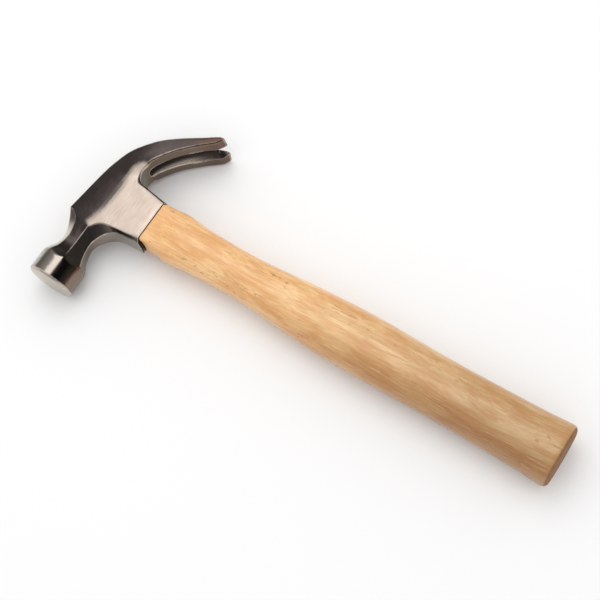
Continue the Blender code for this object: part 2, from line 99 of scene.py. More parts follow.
# The head's long edges, as (x, y, z) control points in five zones: neck, poll side, skirt end,
# claw side and claws. wall: edge of the poll wall, skirt and claw underside; ridge: lower edge of
# the cheek; crest: where the cheek starts to roll over; shoulder and top: the top chamfer's edges.
SKIRT_WALL_X = SKIRT_EAR * (1 - (SKIRT_WALL_HALF / CHEEK_HALF) ** 2)
WALL_EDGE = CLAW_ROOT_HALF - CLAW_EDGE_CHAMFER
RAILS = {
    "wall": (
        ((-0.0248, -0.0525, NECK_FLAT_HALF), (-0.0249, -0.0400, NECK_FLAT_HALF),
         (-0.0254, -0.0320, NECK_FLAT_HALF), (-0.0249, -0.0288, 0.0042)),
        ((-0.0249, -0.0288, 0.0042), (-0.0236, -0.0258, 0.0048), (-0.0212, -0.0221, 0.0056),
         (-0.0178, -0.0191, 0.0064), (-0.0140, -0.0173, 0.0070),
         (-0.0080, -0.0166, SKIRT_WALL_HALF), (SKIRT_WALL_X, -0.0164, SKIRT_WALL_HALF)),
        ((SKIRT_WALL_X, -0.0164, SKIRT_WALL_HALF), (SKIRT_WALL_X, 0.0136, SKIRT_WALL_HALF)),
        ((SKIRT_WALL_X, 0.0136, SKIRT_WALL_HALF), (-0.0138, 0.0160, SKIRT_WALL_HALF),
         (-0.0192, 0.0169, 0.0078), (-0.0218, 0.0184, 0.0083), (-0.0231, 0.0206, 0.0088),
         (-0.0238, 0.0240, WALL_EDGE)),
        ((-0.0238, 0.0240, WALL_EDGE), (-0.0219, 0.0309, 0.0112), (-0.0183, 0.0367, 0.0115),
         (-0.0143, 0.0419, 0.0117), (-0.0099, 0.0465, 0.0120), (-0.0050, 0.0508, 0.0123),
         (-0.0002, 0.0549, 0.0126), (0.0046, 0.0586, 0.0128), (0.0069, 0.0606, 0.0130),
         (0.0087, 0.0645, 0.0130)),
    ),
    "ridge": (
        ((-0.0309, -0.0525, NECK_HALF), (-0.0313, -0.0380, NECK_HALF),
         (-0.0314, -0.0300, NECK_HALF), (-0.0312, -0.0231, CHEEK_HALF)),
        ((-0.0312, -0.0231, CHEEK_HALF), (-0.0284, -0.0192, CHEEK_HALF),
         (-0.0243, -0.0166, CHEEK_HALF), (-0.0159, -0.0155, CHEEK_HALF),
         (-0.0088, -0.0148, CHEEK_HALF), (0.0, -0.0137, CHEEK_HALF)),
        ((0.0, -0.0137, CHEEK_HALF), (0.0, 0.0120, CHEEK_HALF)),
        ((0.0, 0.0120, CHEEK_HALF), (-0.0138, 0.0145, CHEEK_HALF), (-0.0204, 0.0154, CHEEK_HALF),
         (-0.0230, 0.0170, CHEEK_HALF), (-0.0241, 0.0195, 0.0096),
         (-0.0245, 0.0236, CLAW_ROOT_HALF)),
        ((-0.0245, 0.0236, CLAW_ROOT_HALF), (-0.0227, 0.0310, 0.0122),
         (-0.0190, 0.0368, CLAW_MIDDLE_HALF), (-0.0150, 0.0421, 0.0127), (-0.0106, 0.0468, 0.0130),
         (-0.0057, 0.0512, 0.0133), (-0.0009, 0.0553, 0.0136), (0.0040, 0.0591, 0.0138),
         (0.0064, 0.0611, 0.0139), (0.0084, 0.0646, CLAW_TIP_HALF)),
    ),
    "crest": (
        ((-0.0345, -0.0525, NECK_HALF), (-0.0347, -0.0380, NECK_HALF), (-0.0352, -0.0280, 0.0091),
         (-0.0372, -0.0205, 0.0093)),
        ((-0.0372, -0.0205, 0.0093), (-0.0335, -0.0150, CHEEK_HALF),
         (-0.0305, -0.0083, CHEEK_HALF)),
        ((-0.0305, -0.0083, CHEEK_HALF), (-0.0295, -0.0023, CHEEK_HALF),
         (-0.0288, 0.0050, CHEEK_HALF)),
        ((-0.0288, 0.0050, CHEEK_HALF), (-0.0290, 0.0110, CHEEK_HALF), (-0.0306, 0.0180, 0.0098)),
        ((-0.0306, 0.0180, 0.0098), (-0.0298, 0.0290, 0.0118), (-0.0245, 0.0378, 0.0125),
         (-0.0163, 0.0463, 0.0130), (-0.0060, 0.0540, 0.0136), (0.0034, 0.0609, 0.0139),
         (0.0083, 0.0649, CLAW_TIP_HALF)),
    ),
    "shoulder": (
        ((-0.0387, -0.0525, NECK_HALF), (-0.0382, -0.0370, NECK_HALF),
         (-0.0390, -0.0290, NECK_HALF), (-0.0424, -0.0214, 0.0089), (-0.0488, -0.0179, 0.0085)),
        ((-0.0488, -0.0179, 0.0085), (-0.0477, -0.0097, 0.0085)),
        ((-0.0477, -0.0097, 0.0085), (-0.0458, 0.0045, 0.0085)),
        ((-0.0458, 0.0045, 0.0085), (-0.0444, 0.0138, 0.0086), (-0.0424, 0.0204, 0.0093)),
        ((-0.0424, 0.0204, 0.0093), (-0.0387, 0.0284, 0.0110), (-0.0340, 0.0353, 0.0119),
         (-0.0254, 0.0446, 0.0127), (-0.0147, 0.0522, 0.0132), (-0.0038, 0.0585, 0.0136),
         (0.0055, 0.0642, 0.0139), (0.0086, 0.0652, CLAW_TIP_HALF)),
    ),
    "top": (
        ((-0.0430, -0.0525, 0.0050), (-0.0421, -0.0380, 0.0050), (-0.0434, -0.0305, 0.0050),
         (-0.0462, -0.0238, 0.0062), (-0.0491, -0.0179, CROWN_HALF)),
        ((-0.0491, -0.0179, CROWN_HALF), (-0.0480, -0.0097, CROWN_HALF)),
        ((-0.0480, -0.0097, CROWN_HALF), (-0.0461, 0.0045, CROWN_HALF)),
        ((-0.0461, 0.0045, CROWN_HALF), (-0.0447, 0.0138, 0.0083), (-0.0428, 0.0205, 0.0088)),
        ((-0.0428, 0.0205, 0.0088), (-0.0391, 0.0287, 0.0104), (-0.0344, 0.0357, 0.0113),
         (-0.0257, 0.0450, 0.0121), (-0.0150, 0.0527, 0.0126), (-0.0041, 0.0590, 0.0130),
         (0.0053, 0.0646, 0.0133), (0.0088, 0.0655, 0.0134)),
    ),
}
CORNERS = {"wall": (1, 2), "ridge": (0, 1, 2), "crest": (), "shoulder": (0,), "top": (0,)}
STATIONS = (84, 52, 34, 44, 110)  # per zone
POLL_SIDE, SKIRT, CLAW_SIDE, CLAWS = range(1, 5)  # the zones after the neck, which is zone 0
SUBSTEPS = 24  # of a curve, between two control points
END_SHARE = 0.03  # of a section's height: what counts as its crown or its poll wall
TIP_START = 0.8  # share of the claws where their tips start
WEAR_DEGREES = (6.5, 12.0)  # turns between which an edge goes from unworn to worn
SHARP_DEGREES = {"head": 28, "handle": 30, "wedge": 40}
FILLETS = {"wall": 0.00055, "ridge": 0.00042, "shoulder": 0.0006, "top": 0.0005}
FILLET_STEPS = 4
FACE_STEPS = {"wall": 8, "ridge": 12, "crest": 7, "shoulder": 12, "top": 2, "crown": 7}

# The flare: how the neck's half size grows with Y until its facets run out on the round bell
FLARE = ((-0.0300, 0.0090), (-0.0340, 0.00905), (-0.0380, 0.0096), (-0.0420, 0.0108),
         (-0.0450, 0.0124), (-0.0475, 0.0142), (-0.0500, 0.0166), (-0.0525, 0.0195))
RUN_OUT = 16  # how sharp the facets' run-out is

# Half the nail slot's width at the claws' underside and through the top, against Y
GROOVE_HALF = ((0.0267, 0.0010), (0.0269, 0.0021), (0.0273, 0.0029), (0.0281, 0.0036),
               (0.0300, 0.0042), (0.0347, 0.0048), (0.0400, 0.0053), (0.0470, 0.0057),
               (0.0540, 0.0060), (0.0600, 0.0057), (0.0640, 0.0050), (0.0720, 0.0050))
THROUGH_HALF = ((0.0300, 0.0002), (0.0308, 0.0006), (0.0330, 0.0009), (0.0450, 0.0012),
                (0.0520, 0.0016), (0.0560, 0.0019), (0.0592, 0.0024), (0.0615, 0.0030),
                (0.0631, 0.0036), (0.0645, 0.0041), (0.0662, 0.0047), (0.0720, 0.0056))
SLOT_START_Y = 0.0262
PAST_TIPS = (0.001, 0.002, 0.004, 0.006)  # how far the slot's cutters run past the tips
GROOVE_DEPTH = 0.0062
GROOVE_FULL_HALF = 0.0040  # half width from which the groove has its full depth
GROOVE_CURVE = 1.7  # how hollow its flanks are
GROOVE_STEPS = 9
GROOVE_OVERSHOOT = 0.0012
GROOVE_FLOOR_Y = 0.0330  # the groove's floor narrows with the through slot from here
THROUGH_DEPTHS = (-0.0040, 0.0040, 0.0160)  # of its cutter's corners, from the underside

# Handle sections: x, centre y, half the height along Y, half the thickness along Z, roundness
HANDLE_SECTIONS = (
    (0.0003, 0.0002, 0.0142, 0.0092, 4.0), (0.0045, 0.0002, 0.0148, 0.0096, 3.6),
    (0.0100, 0.0002, 0.0152, 0.0101, 3.2), (0.0150, -0.0001, 0.0157, 0.0105, 2.9),
    (0.0200, -0.0003, 0.0156, 0.0108, 2.7), (0.0260, -0.0004, 0.0151, 0.0109, 2.5),
    (0.0350, -0.0003, 0.0143, 0.0109, 2.35), (0.0550, -0.0003, 0.01375, 0.0109, 2.25),
    (0.0700, -0.0003, 0.01385, 0.0111, 2.25), (0.0860, -0.0003, 0.0147, 0.0116, 2.25),
    (0.1050, -0.0003, 0.0163, 0.0124, 2.25), (0.1250, -0.0004, 0.0174, 0.0130, 2.25),
    (0.1500, -0.0003, 0.01795, 0.0134, 2.25), (0.1800, -0.0005, 0.01755, 0.0133, 2.25),
    (0.2050, -0.0005, 0.0173, 0.0132, 2.25), (0.2350, -0.0004, 0.0176, 0.0135, 2.25),
    (0.2550, -0.0004, 0.01795, 0.0139, 2.3), (0.2718, -0.0004, 0.0188, 0.0145, 2.35),
)
HANDLE_RINGS = 300
HANDLE_SIDES = 144
TENON_RINGS = 24
TENON_SLOPE_FADE = 0.0100  # how far below the crown the tenon's end slope is lost
SHOULDER_ROUND = ((0.98, 0.0), (0.995, 0.0001), (1.0, 0.0003))  # (scale, distance) per ring
SHOULDER_END_X = 0.0010  # the body's rings start after it
BUTT_ROUND_DEGREES = range(10, 91, 10)
BUTT_SHARES = (0.85, 0.6, 0.3, 0.02)  # rings on the butt's flat end
EAR_FADE = 0.0100

# The handle's shoulder follows the skirt: sides as (normal y, normal z, distance), for z >= 0
SHOULDER_SIDES = ((0.0, 1.0, 0.0092), (1.0, 0.0, 0.0135), (-1.0, 0.0, 0.0143),
                  (0.781, 0.625, 0.0149), (-0.61, 0.793, 0.0154))
SHOULDER_FADE = 0.0180  # where the section has become an oval

WOODEN_WEDGE = {"y": EYE_CENTRE_Y, "half_length": 0.0120, "halves": (0.0017, 0.0005),
                "depth": 0.0270, "turn": 0.0}
STEEL_WEDGE = {"half_length": 0.0050, "halves": (0.0010, 0.0003), "depth": 0.0140,
               "turn": math.radians(70)}
STEEL_WEDGE_Y = {"steel_wedge_poll": -0.0074, "steel_wedge_claw": 0.0050}
WEDGE_OUTLINE = ((-1, -1), (0, -1), (1, -1), (1, 0), (1, 1), (0, 1), (-1, 1), (-1, 0))
WEDGE_SHARES = (0.0, 0.25, 0.5, 0.75, 1.0)
KERF_HALF_LENGTH = 0.0200  # the kerf runs right across the tenon
WOODEN_WEDGE_ROUND = 0.00012
STEEL_WEDGE_ROUND = 0.0002

CAMERA_AT = Vector((0.3228, -0.1833, 0.6630))  # design frame
CAMERA_BACK = Vector((0.30458, -0.25939, 0.91649))
CAMERA_UP = Vector((-0.46835, 0.79706, 0.38124))
CAMERA_LENS = 75

TENT_LIGHT = (0.94, 0.94, 0.94)
ROOM_LIGHT_SIDE = (-0.80, -0.55, -0.22)
ROOM_TURN = (-0.6, 0.9)  # dot products with that side, at the room's dark and light ends
ROOM_GREYS = (0.080, 0.60)
FLOOR_SIZE = 30.0
FLOOR_GREY = (0.90, 0.90, 0.90)
KEY_WATTS = 2.8
KEY_OFFSET = Vector((-0.16, 0.28, 1.00))  # from the head's centre
KEY_SIZE = (0.70, 0.90)


# ---- curves and meshes ----

def catmull(points, before, after, count):
    """count rows, evenly spaced, on the Catmull-Rom curve through points, whose end directions
    come from the neighbours before and after it."""
    points = np.array(points, float)
    before = 2 * points[0] - points[1] if before is None else np.array(before, float)
    after = 2 * points[-1] - points[-2] if after is None else np.array(after, float)
    padded = np.vstack([before, points, after])
    fine = []
    for a, b, c, d in zip(padded, padded[1:], padded[2:], padded[3:]):
        for t in np.linspace(0, 1, SUBSTEPS, endpoint=False):
            fine.append(0.5 * (2 * b + (c - a) * t + (2 * a - 5 * b + 4 * c - d) * t**2
                               + (3 * b - a - 3 * c + d) * t**3))
    fine = np.array([*fine, points[-1]])
    steps = np.linalg.norm(np.diff(fine[:, :3], axis=0), axis=1)
    along = np.concatenate([[0], np.cumsum(steps)])
    wanted = np.linspace(0, along[-1], count)
    return np.column_stack([np.interp(wanted, along, column) for column in fine.T])


@functools.lru_cache
def smooth_table(pairs):
    """The smooth curve through pairs, as rows in order of position."""
    curve = catmull(pairs, None, None, 200)
    return curve[np.argsort(curve[:, 0])]


def profile_at(pairs, where):
    """A smooth value against position, from (position, value) pairs."""
    curve = smooth_table(pairs)
    return float(np.interp(where, curve[:, 0], curve[:, 1]))


def smoothstep(value, low, high):
    """0 up to low, 1 from high on, and smooth between them."""
    t = min(1.0, max(0.0, (value - low) / (high - low)))
    return t * t * (3 - 2 * t)


def link(name, mesh):
    """A new object in the scene with the mesh, which is used up."""
    data = bpy.data.meshes.new(name)
    mesh.to_mesh(data)
    mesh.free()
    obj = bpy.data.objects.new(name, data)
    bpy.context.scene.collection.objects.link(obj)
    return obj


def loft(name, rings):
    """A closed solid through rings that have the same number of points, capped at both ends."""
    mesh = bmesh.new()
    rows = [[mesh.verts.new(Vector(point) - ORIGIN) for point in ring] for ring in rings]
    for low, high in zip(rows, rows[1:]):
        for i in range(len(low)):
            j = (i + 1) % len(low)
            mesh.faces.new((low[i], low[j], high[j], high[i]))
    mesh.faces.new(reversed(rows[0]))
    mesh.faces.new(rows[-1])
    bmesh.ops.recalc_face_normals(mesh, faces=mesh.faces)
    return link(name, mesh)


def cut(obj, cutters):
    """Takes the cutters out of obj, and applies and removes them."""
    for cutter in cutters:
        modifier = obj.modifiers.new(cutter.name, "BOOLEAN")
        modifier.operation = "DIFFERENCE"
        modifier.solver = "EXACT"
        modifier.object = cutter
    bpy.context.view_layer.update()
    evaluated = obj.evaluated_get(bpy.context.evaluated_depsgraph_get())
    data = bpy.data.meshes.new_from_object(evaluated)
    obj.modifiers.clear()
    obj.data = data
    for cutter in cutters:
        bpy.data.objects.remove(cutter, do_unlink=True)


def clean(obj):
    """Merges the points that the cuts left almost in one place and splits many-sided faces."""
    mesh = bmesh.new()
    mesh.from_mesh(obj.data)
    bmesh.ops.remove_doubles(mesh, verts=mesh.verts, dist=0.000004)
    bmesh.ops.dissolve_degenerate(mesh, edges=mesh.edges, dist=0.000002)
    bmesh.ops.triangulate(mesh, faces=[f for f in mesh.faces if len(f.verts) > 4])
    mesh.to_mesh(obj.data)
    mesh.free()


def shade(obj, sharp_degrees):
    """Smooth shading, with sharp edges where faces turn by more than sharp_degrees."""
    obj.data.shade_smooth()
    obj.data.set_sharp_from_angle(angle=math.radians(sharp_degrees))


def mark_wear(obj):
    """Stores, for each vertex, how sharply the surface turns outwards there, from 0 to 1."""
    mesh = bmesh.new()
    mesh.from_mesh(obj.data)
    values = []
    for vert in mesh.verts:
        turns = [e.calc_face_angle_signed(0.0) for e in vert.link_edges if len(e.link_faces) == 2]
        values.append(smoothstep(math.degrees(max(turns, default=0.0)), *WEAR_DEGREES))
    mesh.free()
    attribute = obj.data.attributes.new("wear", "FLOAT", "POINT")
    attribute.data.foreach_set("value", values)


# ---- head ----

def head_stations():
    """For each station from the bell to the claw tips: its zone, its share of the zone, rails."""
    curves = {}
    for rail, zones in RAILS.items():
        for index, points in enumerate(zones):
            meets = index > 0 and index - 1 not in CORNERS[rail]
            leaves = index < len(zones) - 1 and index not in CORNERS[rail]
            before = zones[index - 1][-2] if meets else None
            after = zones[index + 1][1] if leaves else None
            curves[rail, index] = catmull(points, before, after, STATIONS[index])
    stations = []
    for index, count in enumerate(STATIONS):
        first = 1 if index else 0  # a zone starts where the one before it ends
        for i in range(first, count):
            rails = {rail: Vector(curves[rail, index][i]) for rail in RAILS}
            stations.append({"zone": index, "share": i / (count - 1)} | rails)
    return stations


def rounded(before, corner, after, setback):
    """The corner replaced with a small arc between its two neighbours."""
    to_before, to_after = before - corner, after - corner
    reach = min(setback, 0.45 * to_before.length, 0.45 * to_after.length)
    start = corner + to_before.normalized() * reach
    end = corner + to_after.normalized() * reach
    arc = []
    for i in range(FILLET_STEPS + 1):
        t = i / FILLET_STEPS
        arc.append(start * (1 - t) ** 2 + corner * 2 * t * (1 - t) + end * t * t)
    return arc


def stretch(start, end, count):
    """Points strictly between start and end."""
    return [start.lerp(end, i / count) for i in range(1, count)]


def ear_fade(station):
    """1 at the skirt's edge, falling to 0 further up the side walls."""
    if station["zone"] not in (POLL_SIDE, SKIRT, CLAW_SIDE):
        return 0.0
    return max(0.0, 1 - (SKIRT_WALL_X - station["wall"].x) / EAR_LENGTH)


def half_section(station, tip_share):
    """The upper half of one section, from the middle plane under to the middle plane on top."""
    wall, ridge, crest, shoulder, top = (station[rail] for rail in RAILS)
    outward = Vector((top.x - wall.x, top.y - wall.y, 0.0)).normalized()
    foot = Vector((wall.x, wall.y, 0.0))
    crown = Vector((top.x, top.y, 0.0))
    wall_arc = rounded(foot, wall, ridge, FILLETS["wall"])
    ridge_arc = rounded(wall, ridge, crest, FILLETS["ridge"])
    shoulder_arc = rounded(crest, shoulder, top, FILLETS["shoulder"])
    top_arc = rounded(shoulder, top, crown, FILLETS["top"])
    points = [foot, *stretch(foot, wall_arc[0], FACE_STEPS["wall"]), *wall_arc]
    points += [*stretch(wall_arc[-1], ridge_arc[0], FACE_STEPS["ridge"]), *ridge_arc]
    points += [*stretch(ridge_arc[-1], crest, FACE_STEPS["crest"]), crest]
    roll_end = shoulder_arc[0]
    for i in range(1, FACE_STEPS["shoulder"]):
        t = i / FACE_STEPS["shoulder"]
        point = crest.lerp(roll_end, t)
        point.z = crest.z + (roll_end.z - crest.z) * t * t
        points.append(point)
    points += shoulder_arc
    points += [*stretch(shoulder_arc[-1], top_arc[0], FACE_STEPS["top"]), *top_arc]
    points += [*stretch(top_arc[-1], crown, FACE_STEPS["crown"]), crown]
    return [shaped(point.copy(), station, outward, tip_share) for point in points]


def shaped(point, station, outward, tip_share):
    """Bows the crown and the poll wall, drops the skirt's ears and flares the neck to the bell."""
    wall, top = station["wall"], station["top"]
    from_wall = (Vector((point.x, point.y, 0.0)) - Vector((wall.x, wall.y, 0.0))).dot(outward)
    height = (Vector((top.x, top.y, 0.0)) - Vector((wall.x, wall.y, 0.0))).length
    bow = 1 - (point.z / top.z) ** 2
    if from_wall > (1 - END_SHARE) * height and bow > 0:
        point += outward * CROWN_RISE * bow * (1 - tip_share)
    low_bow = max(0.0, 1 - (point.z / wall.z) ** 2)
    if from_wall < END_SHARE * height:
        if station["zone"] == POLL_SIDE:
            point.y -= SKIRT_WALL_RISE * low_bow * smoothstep(station["share"], 0.0, 0.5)
        under = SKIRT_EAR * (1 - (point.z / CHEEK_HALF) ** 2)
        point.x += max(0.0, under - SKIRT_WALL_X) * ear_fade(station)
    inner = (1 - abs(point.z) / CLAW_TIP_HALF) * TIP_REACH * smoothstep(tip_share, 0.5, 1.0)
    point += Vector((inner, inner, 0.0))
    if point.y < FLARE[0][0]:
        point = flared(point)
    return point


def flared(point):
    """Swells a neck point round the bell's axis, no further than the round bell."""
    offset = Vector((point.x - BELL_AXIS_X, point.z))
    radius = offset.length * max(1.0, profile_at(FLARE, point.y) / FLARE[0][1])
    radius = (radius**-RUN_OUT + BELL_RADIUS**-RUN_OUT) ** (-1 / RUN_OUT)
    offset = offset.normalized() * radius
    return Vector((BELL_AXIS_X + offset.x, point.y, offset.y))


def below(points):
    """The points' mirror images under the middle plane, in the opposite order."""
    return [Vector((p.x, p.y, -p.z)) for p in reversed(points)]


def bell_rings(first):
    """Rings from the centre of the striking face to the first ring of the neck."""
    directions = [Vector((p.x - BELL_AXIS_X, p.z)).normalized() for p in first]
    profile = []
    face_radius = BELL_RADIUS - BELL_CHAMFER
    for share in FACE_SHARES:
        profile.append((face_radius * share, FACE_Y + FACE_CROWN * share**2))
    for t in np.linspace(0, 1, 5):
        profile.append((face_radius - FACE_EDGE_INSET + FACE_EDGE_EASE * t,
                        FACE_Y + FACE_CROWN + FACE_EDGE_EASE * t * t))
    for t in np.linspace(0.2, 0.85, 4):
        profile.append((face_radius + BELL_CHAMFER * t, BELL_RIM_Y - BELL_CHAMFER * (1 - t)))
    for degrees in (20, 45, 70, 90):
        angle = math.radians(degrees)
        profile.append((BELL_RADIUS - RIM_ROUND * (1 - math.sin(angle)),
                        BELL_RIM_Y + RIM_ROUND - RIM_ROUND * math.cos(angle)))
    side_start, side_end = BELL_RIM_Y + BELL_SIDE_START, first[0].y - RIM_ROUND
    for y in np.linspace(side_start, side_end, BELL_SIDE_RINGS):
        profile.append((BELL_RADIUS, y))
    return [
        [Vector((BELL_AXIS_X + radius * d.x, y, radius * d.y)) for d in directions]
        for radius, y in profile
    ]


def superellipse(x, y, half_y, half_z, roundness, sides, slope=0.0):
    """A section across X. slope leans it along the crown."""
    ring = []
    for i in range(sides):
        angle = 2 * math.pi * i / sides
        c, s = math.cos(angle), math.sin(angle)
        across = half_y * math.copysign(abs(c) ** (2 / roundness), c)
        up = half_z * math.copysign(abs(s) ** (2 / roundness), s)
        ring.append(Vector((x + slope * (y + across), y + across, up)))
    return ring


def eye_half_sizes(x):
    """Half the eye's length and half its width at x."""
    share = x / CROWN_AT_EYE_X
    return [low + (high - low) * share for low, high in (EYE_HALF_LENGTH, EYE_HALF_WIDTH)]


def eye_cutter():
    """The tapered eye, which goes through the whole head."""
    rings = []
    for x in (OVERSHOOT, -OVERSHOOT, CROWN_AT_EYE_X + OVERSHOOT, CROWN_AT_EYE_X - 2 * OVERSHOOT):
        half_y, half_z = eye_half_sizes(x)
        rings.append(superellipse(x, EYE_CENTRE_Y, half_y, half_z, EYE_ROUNDNESS, EYE_SIDES))
    return loft("eye_cutter", rings)


def claw_line(stations):
    """Points under the claws on the middle plane, each with the direction into the claws."""
    feet = [s["wall"] for s in stations if s["zone"] == CLAWS and s["wall"].y > SLOT_START_Y]
    feet = [Vector((p.x, p.y, 0.0)) for p in feet]
    ahead = (feet[-1] - feet[-4]).normalized()
    feet += [feet[-1] + ahead * step for step in PAST_TIPS]
    line = []
    for i, foot in enumerate(feet):
        along = (feet[min(i + 2, len(feet) - 1)] - feet[max(i - 2, 0)]).normalized()
        line.append((foot, Vector((-along.y, along.x, 0.0))))
    return line


def groove_cutter(line):
    """The slot's broad bevel on the underside, a hollow with curved flanks."""
    rings = []
    for foot, inward in line:
        if foot.y < GROOVE_HALF[0][0]:
            continue
        outer = profile_at(GROOVE_HALF, foot.y)
        through = profile_at(THROUGH_HALF, max(foot.y, GROOVE_FLOOR_Y))
        inner = min(0.8 * outer, through * 0.9)  # the floor stays narrower than the through slot
        depth = GROOVE_DEPTH * min(1.0, outer / GROOVE_FULL_HALF) ** 1.2
        slope = GROOVE_CURVE * (outer - inner) / depth
        half = [(-GROOVE_OVERSHOOT, outer + slope * GROOVE_OVERSHOOT)]
        for t in np.linspace(0, 1, GROOVE_STEPS):
            half.append((depth * t, inner + (outer - inner) * (1 - t) ** GROOVE_CURVE))
        half.append((depth + inner * 0.5, inner * 0.6))
        ring = [foot + inward * deep + Vector((0, 0, side)) for deep, side in half]
        rings.append(ring + below(ring))
    return loft("groove_cutter", rings)


def through_cutter(line):
    """The narrow slot that goes right through, rounded at its closed end."""
    rings = []
    for foot, inward in line:
        if foot.y < THROUGH_HALF[0][0]:
            continue
        side = Vector((0, 0, profile_at(THROUGH_HALF, foot.y)))
        ring = [foot + inward * deep + side for deep in THROUGH_DEPTHS]
        rings.append(ring + below(ring))
    return loft("through_cutter", rings)


def make_head():
    """The forging, with its eye and its nail slot cut out."""
    stations = head_stations()
    last = max(i for i, s in enumerate(stations) if s["zone"] == CLAW_SIDE)
    span = len(stations) - 1 - last
    rings = []
    for i, station in enumerate(stations):
        half = half_section(station, smoothstep((i - last) / span, TIP_START, 1.0))
        rings.append(half + below(half[1:-1]))
    head = loft("forged_head", bell_rings(rings[0]) + rings)
    line = claw_line(stations)
    cut(head, [eye_cutter(), groove_cutter(line), through_cutter(line)])
    clean(head)
    mark_wear(head)
    shade(head, SHARP_DEGREES["head"])
    return head


# ---- handle and wedges ----

def handle_rings():
    """Sections of the tenon, the shoulder, the body and the butt, in that order."""
    rings = []
    for x in np.linspace(CROWN_AT_EYE_X, 0.0, TENON_RINGS):
        half_y, half_z = eye_half_sizes(x)
        slope = CROWN_SLOPE * max(0.0, 1 - (x - CROWN_AT_EYE_X) / TENON_SLOPE_FADE)
        rings.append(superellipse(x, EYE_CENTRE_Y, half_y - GAP, half_z - GAP, EYE_ROUNDNESS,
                                  HANDLE_SIDES, slope))
    x, y, half_y, half_z, roundness = HANDLE_SECTIONS[0]
    for scale, lift in SHOULDER_ROUND:
        ring = shouldered(superellipse(x + lift, y, half_y, half_z, roundness, HANDLE_SIDES), 1.0)
        rings.append([Vector((p.x, p.y * scale, p.z * scale)) for p in ring])
    body = catmull(HANDLE_SECTIONS, None, None, HANDLE_RINGS)
    for x, y, half_y, half_z, roundness in body[body[:, 0] > SHOULDER_END_X]:
        ear = max(0.0, 1 - (x - GAP) / EAR_FADE)
        ring = superellipse(x, y, half_y, half_z, roundness, HANDLE_SIDES)
        rings.append(shouldered(ring, ear))
    _, y, half_y, half_z, roundness = HANDLE_SECTIONS[-1]
    for degrees in BUTT_ROUND_DEGREES:
        angle = math.radians(degrees)
        x = BUTT_X - BUTT_ROUND * (1 - math.sin(angle))
        inset = BUTT_ROUND * (1 - math.cos(angle))
        rings.append(superellipse(x, y, half_y - inset, half_z - inset, roundness, HANDLE_SIDES))
    for share in BUTT_SHARES:
        rings.append(superellipse(BUTT_X, y, (half_y - BUTT_ROUND) * share,
                                  (half_z - BUTT_ROUND) * share, roundness, HANDLE_SIDES))
    return rings


def shouldered(ring, ear):
    """Moves a section's points on to the skirt's outline, less and less further down, and bends
    it along the skirt's edge by the share ear."""
    moved = []
    for point in ring:
        reach = min(
            distance / (normal_y * point.y + normal_z * abs(point.z))
            for normal_y, normal_z, distance in SHOULDER_SIDES
            if normal_y * point.y + normal_z * abs(point.z) > 0.001
        )
        share = 1 - smoothstep(point.x, 0.0, SHOULDER_FADE)
        factor = 1 + (reach - 1) * share
        height = point.z * factor
        drop = SKIRT_EAR * max(0.0, 1 - (height / CHEEK_HALF) ** 2)
        moved.append(Vector((point.x + ear * drop, point.y * factor, height)))
    return moved


def wedge(name, y, half_length, halves, depth, turn, extra=0.0, above=0.0):
    """A wedge that points down the eye from the crown and is turned by turn about X. It is larger
    by extra on its sides and at its lower end, and stands out of the crown by above."""
    rings = []
    for share in WEDGE_SHARES:
        half = halves[0] + (halves[1] - halves[0]) * share
        x = CROWN_AT_EYE_X + depth * share
        ring = []
        for along, side in WEDGE_OUTLINE:
            across = along * (half_length + extra)
            up = side * (half + extra)
            turned_y = across * math.cos(turn) - up * math.sin(turn) + y
            turned_z = across * math.sin(turn) + up * math.cos(turn)
            end = (CROWN_SLOPE * turned_y - above) * (1 - share) + extra * share
            ring.append(Vector((x + end, turned_y, turned_z)))
        rings.append(ring)
    return loft(name, rings)


def soften(obj, width):
    """Rounds the sharp edges of a small piece."""
    bevel = obj.modifiers.new("rounded edges", "BEVEL")
    bevel.width = width
    bevel.segments = 3
    bevel.limit_method = "ANGLE"
    bevel.angle_limit = math.radians(30)
    cut(obj, [])  # applies the bevel
    shade(obj, SHARP_DEGREES["wedge"])


def make_handle_and_wedges():
    """The handle, the hardwood wedge in its kerf and the steel wedges across both."""
    handle = loft("turned_handle", handle_rings())
    kerf = WOODEN_WEDGE | {"half_length": KERF_HALF_LENGTH}
    cutters = [wedge("kerf", extra=GAP, above=OVERSHOOT, **kerf)]
    spreader = wedge("hardwood_wedge", **WOODEN_WEDGE)
    pins = []
    for name, y in STEEL_WEDGE_Y.items():
        cutters.append(wedge(f"{name}_space", y, extra=GAP, above=OVERSHOOT, **STEEL_WEDGE))
        cut(spreader, [wedge(f"{name}_cross", y, extra=GAP, above=OVERSHOOT, **STEEL_WEDGE)])
        pin = wedge(name.replace("steel_wedge", "locking_wedge"), y, **STEEL_WEDGE)
        soften(pin, STEEL_WEDGE_ROUND)
        pins.append(pin)
    cut(handle, cutters)
    clean(handle)
    shade(handle, SHARP_DEGREES["handle"])
    soften(spreader, WOODEN_WEDGE_ROUND)
    return handle, spreader, pins


# ---- materials ----

